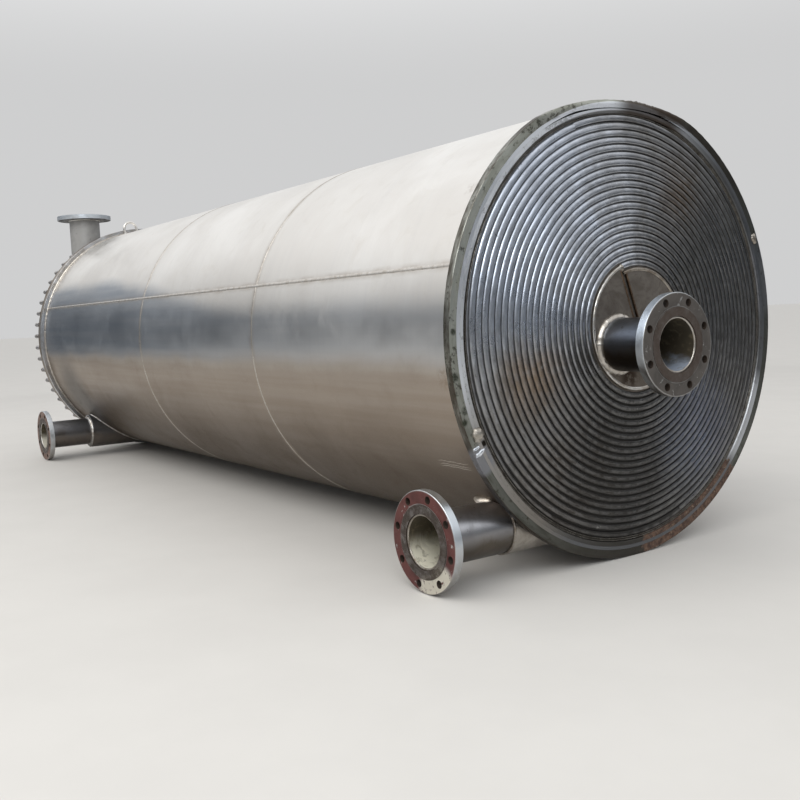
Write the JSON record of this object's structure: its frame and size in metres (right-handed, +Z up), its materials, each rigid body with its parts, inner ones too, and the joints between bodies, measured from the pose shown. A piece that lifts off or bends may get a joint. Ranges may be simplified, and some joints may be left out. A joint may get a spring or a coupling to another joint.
{
  "type": "spiral plate heat exchanger",
  "caption": "Long spiral plate heat exchanger on its side: rolled shell, open winding face, flanged nozzles and a bolted far cover.",
  "frame": {"origin": "middle of the footprint of the whole object, on the ground", "axes": "+X along the shell's axis towards the open winding face, +Z up, +Y away from the two nozzles at the foot"},
  "size_m": [4.6, 1.433, 1.4468],
  "materials": {
    "shell_steel": "satin rolled stainless plate",
    "rim_steel": "ground and stained stainless",
    "winding_steel": "welded and wire-brushed stainless",
    "core_steel": "dull stainless with stains",
    "pipe_steel": "satin stainless pipe",
    "flange_steel": "machined steel flange with worn red-brown primer",
    "cover_steel": "dull steel plate",
    "gasket": "black sheet gasket"
  },
  "bodies": {
    "root": {"centre_nozzle_flange": "flange_steel", "centre_nozzle_pipe": "pipe_steel", "closing_bar_a": "winding_steel", "closing_bar_b": "winding_steel", "core_cover_left": "core_steel", "core_cover_right": "core_steel", "core_divider": "core_steel", "core_half_left": "core_steel", "core_half_right": "core_steel", "cover_gasket": "gasket", "face_band": "rim_steel", "far_cover": "cover_steel", "far_flange": "cover_steel", "far_nozzle_flange": "flange_steel", "far_nozzle_pipe": "pipe_steel", "far_nozzle_stub": "pipe_steel", "lifting_eye": "shell_steel", "near_nozzle_flange": "flange_steel", "near_nozzle_pipe": "pipe_steel", "near_nozzle_stub": "pipe_steel", "near_rim": "rim_steel", "shell_course_far": "shell_steel", "shell_course_middle": "shell_steel", "shell_course_near": "shell_steel", "spiral_plate_a": "winding_steel", "spiral_plate_b": "winding_steel", "top_nozzle_elbow": "pipe_steel", "top_nozzle_flange": "pipe_steel", "top_nozzle_pipe": "pipe_steel", "winding_filler": "winding_steel"}
  },
  "joints": []
}
